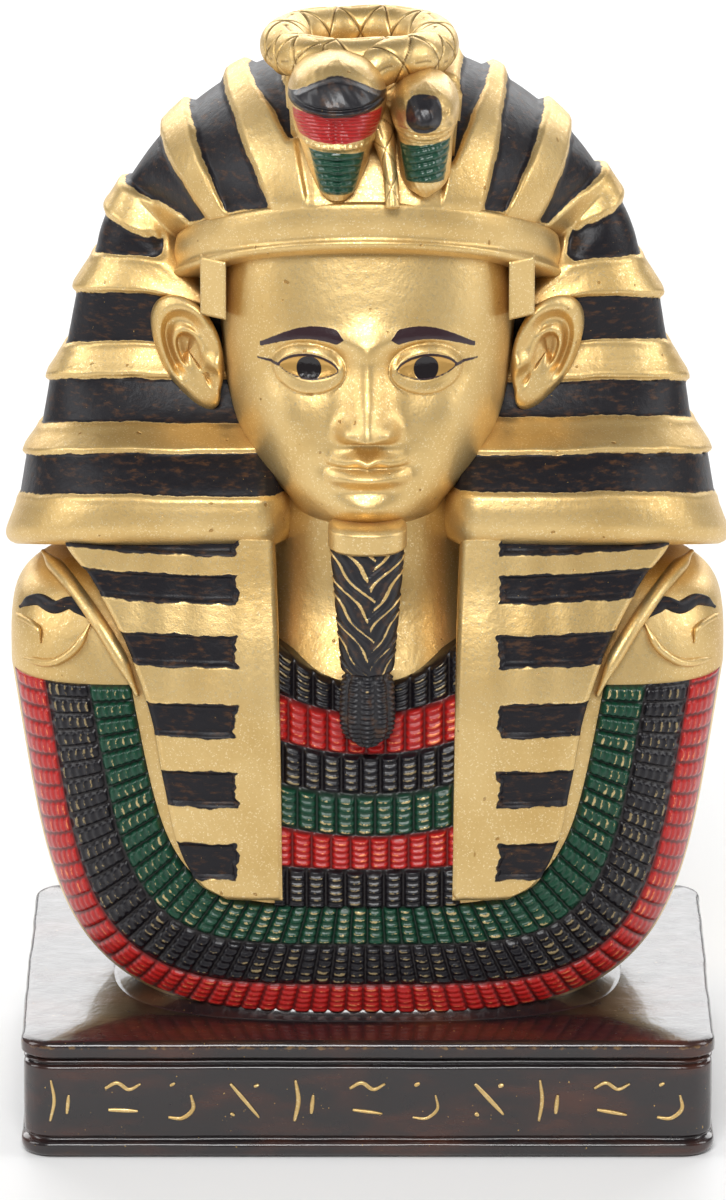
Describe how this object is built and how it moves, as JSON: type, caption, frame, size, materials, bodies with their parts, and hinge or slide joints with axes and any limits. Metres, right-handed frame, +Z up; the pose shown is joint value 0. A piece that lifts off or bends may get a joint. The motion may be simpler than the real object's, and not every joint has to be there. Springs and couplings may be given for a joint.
{
  "type": "pharaoh bust",
  "caption": "Small painted resin bust of a pharaoh in striped headdress, false beard and broad beaded collar, cast in one with its rectangular plinth.",
  "frame": {"origin": "middle of the plinth's flat underside", "axes": "+Z up through the head, -Y out of the face, +X to the right of someone who faces the bust"},
  "size_m": [0.074, 0.05, 0.1136],
  "materials": {
    "gold_paint": "satin metallic gold paint with fine sparkle and amber glaze in the hollows",
    "dark_stripe_paint": "brushed near-black paint with brown streaks, soft gloss",
    "red_paint": "red paint over gold, rubbed through on the ridges",
    "green_paint": "dark green paint over gold, rubbed through on the ridges",
    "plinth_paint": "glossy brown-black paint with a few gold strokes and specks"
  },
  "bodies": {
    "root": {"pharaoh_bust": "gold_paint"}
  },
  "joints": []
}
